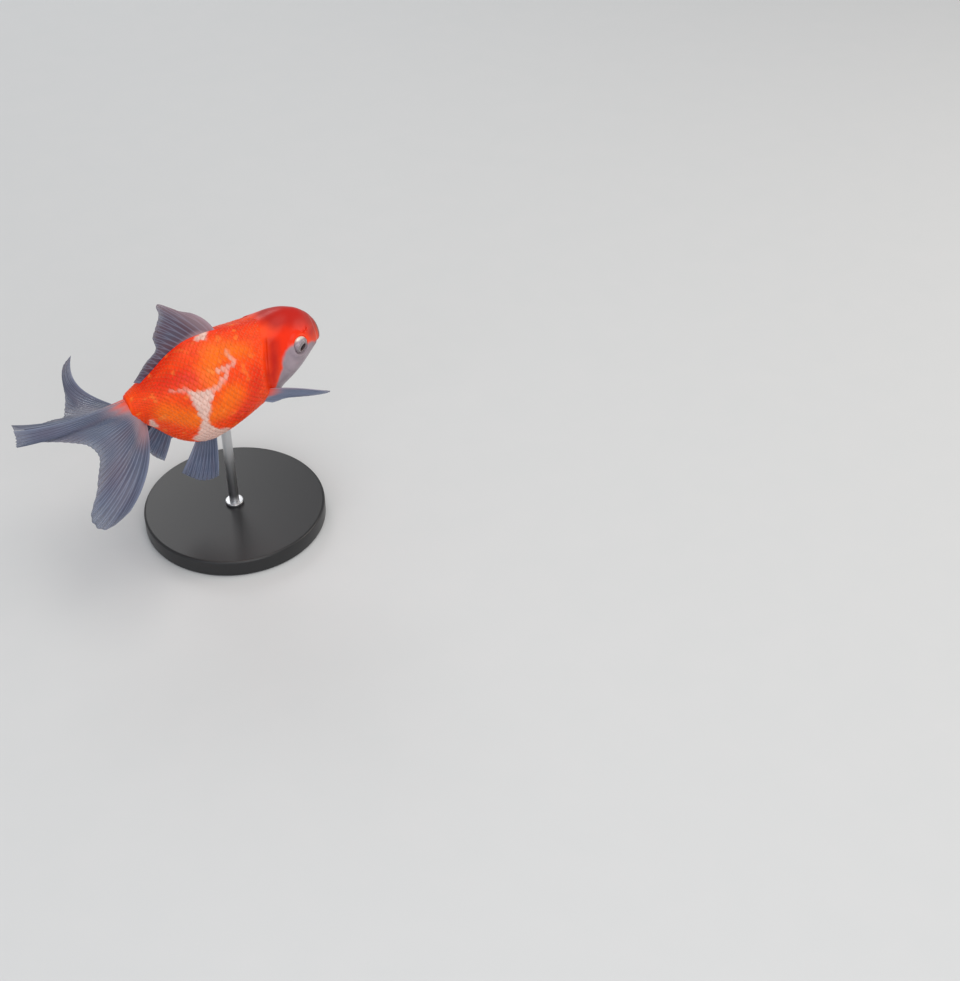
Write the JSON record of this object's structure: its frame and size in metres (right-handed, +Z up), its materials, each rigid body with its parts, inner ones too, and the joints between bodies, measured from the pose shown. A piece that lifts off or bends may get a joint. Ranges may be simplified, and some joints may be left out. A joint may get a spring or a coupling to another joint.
{
  "type": "fish model",
  "caption": "Life-size fancy goldfish with a forked double tail, held in a swimming pose by a rod on a round base.",
  "frame": {"origin": "centre of the base's underside, which rests on the floor", "axes": "+X towards the fish's nose, +Y to its left, +Z up, square to the base's underside"},
  "size_m": [0.1014, 0.0662, 0.0872],
  "materials": {
    "orange_skin": "wet fish skin, red-orange with white patches and fine scales",
    "pale_skin": "wet fish skin, pale pinkish white",
    "silver_iris": "silvery iris with a dark pupil under a clear cornea",
    "fin_web": "translucent grey-blue web with fine rays",
    "brushed_steel": "brushed",
    "base_paint": "satin black"
  },
  "bodies": {
    "root": {"head": "orange_skin", "trunk": "orange_skin", "tail_stalk": "orange_skin", "lower_jaw": "pale_skin", "left_gill_cover": "pale_skin", "right_gill_cover": "pale_skin", "left_eye": "silver_iris", "right_eye": "silver_iris", "dorsal_fin": "fin_web", "left_pectoral_fin": "fin_web", "right_pectoral_fin": "fin_web", "left_pelvic_fin": "fin_web", "right_pelvic_fin": "fin_web", "left_anal_fin": "fin_web", "right_anal_fin": "fin_web", "left_upper_tail_lobe": "fin_web", "left_lower_tail_lobe": "fin_web", "right_upper_tail_lobe": "fin_web", "right_lower_tail_lobe": "fin_web", "stand_rod": "brushed_steel", "stand_base": "base_paint"}
  },
  "joints": []
}
